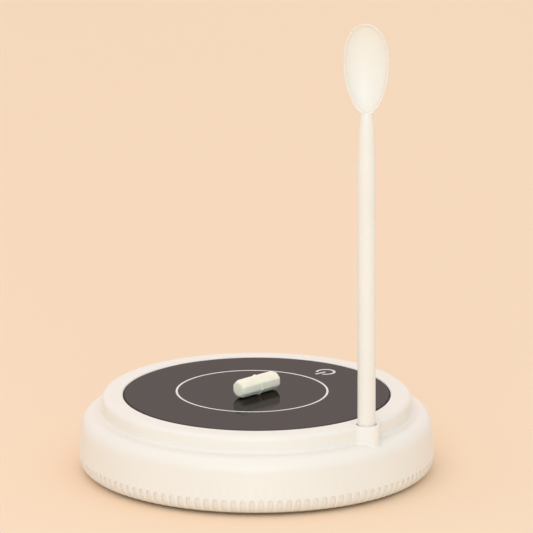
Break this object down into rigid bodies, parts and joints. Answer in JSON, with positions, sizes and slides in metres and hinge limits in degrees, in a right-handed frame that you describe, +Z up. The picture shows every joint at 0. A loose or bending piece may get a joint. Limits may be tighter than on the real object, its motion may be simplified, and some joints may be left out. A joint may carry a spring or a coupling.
{
  "type": "magnetic stirrer",
  "caption": "Round cordless magnetic stirrer with a grooved lower edge, a black glass deck with a touch key, a loose stir bar, and a long spoon standing in a socket at the rim.",
  "frame": {"origin": "on the table, midway between the four rubber feet, below the centre of the glass deck", "axes": "+Z up along the motor shaft and the standing spoon, +Y towards the charging port at the rear, +X to the right"},
  "size_m": [0.12, 0.12, 0.1662],
  "materials": {
    "housing_cream": "fine satin moulded ABS, warm cream",
    "spoon_cream": "smooth satin moulded plastic, warm cream",
    "deck_glass": "polished toughened glass, back-painted brown-black",
    "printed_white": "thin white screen print on the glass",
    "foot_rubber": "matt moulded rubber",
    "black_foam": "closed-cell foam tape",
    "white_plastic": "satin nylon",
    "chip_black": "matt epoxy",
    "board_green": "solder-masked laminate",
    "motor_steel": "plain drawn steel",
    "screw_zinc": "bright zinc plate",
    "bush_bronze": "sintered bronze",
    "winding_copper": "enamelled copper",
    "magnet_nickel": "nickel plate",
    "ferrite": "ground ferrite",
    "battery_foil": "laminated foil pouch",
    "lead_red": "silicone lead",
    "lead_black": "silicone lead",
    "bar_ptfe": "waxy white PTFE"
  },
  "bodies": {
    "housing": {"top_shell": "housing_cream", "base_plate": "housing_cream", "base_screw_1": "screw_zinc", "base_screw_2": "screw_zinc", "base_screw_3": "screw_zinc", "base_screw_4": "screw_zinc", "rubber_foot_1": "foot_rubber", "rubber_foot_2": "foot_rubber", "rubber_foot_3": "foot_rubber", "rubber_foot_4": "foot_rubber", "glass_plate": "deck_glass", "glass_gasket": "black_foam", "motor_can": "motor_steel", "motor_end_cap": "white_plastic", "motor_bush_lower": "bush_bronze", "motor_bush_upper": "bush_bronze", "motor_field_magnet": "ferrite", "motor_brush_1": "winding_copper", "motor_brush_2": "winding_copper", "motor_clamp": "screw_zinc", "motor_screw_1": "screw_zinc", "motor_screw_2": "screw_zinc", "main_board": "board_green", "board_screw_1": "screw_zinc", "board_screw_2": "screw_zinc", "charging_port": "motor_steel", "controller_chip": "chip_black", "charger_chip": "chip_black", "motor_connector": "white_plastic", "battery_connector": "white_plastic", "status_led": "white_plastic", "capacitor": "battery_foil", "touch_spring": "motor_steel", "battery_cell": "battery_foil", "battery_pad": "black_foam", "motor_lead_red": "lead_red", "motor_lead_black": "lead_black", "battery_lead_red": "lead_red", "battery_lead_black": "lead_black"},
    "rotor": {"motor_shaft": "motor_steel", "motor_commutator": "winding_copper", "motor_armature": "winding_copper", "magnet_carrier": "white_plastic", "keeper_plate": "motor_steel", "drive_magnet_north": "magnet_nickel", "drive_magnet_south": "magnet_nickel"},
    "stir_bar": {"stir_bar_jacket": "bar_ptfe", "stir_bar_plug": "bar_ptfe", "stir_bar_magnet": "magnet_nickel"},
    "spoon": {"spoon": "spoon_cream"}
  },
  "joints": [
    {"name": "rotor_spin", "type": "hinge", "parent": "housing", "child": "rotor", "pos_m": [0, 0, 0.01], "axis": [0, 0, 1], "continuous": true},
    {"name": "stir_bar_spin", "type": "hinge", "parent": "housing", "child": "stir_bar", "pos_m": [0, 0, 0.0298], "axis": [0, 0, 1], "continuous": true},
    {"name": "spoon_lift", "type": "slide", "parent": "housing", "child": "spoon", "axis": [0, 0, 1], "range_m": [0, 0.03]}
  ],
  "couplings": [
    {"joint": "stir_bar_spin", "follows": "rotor_spin", "ratio": 1}
  ]
}
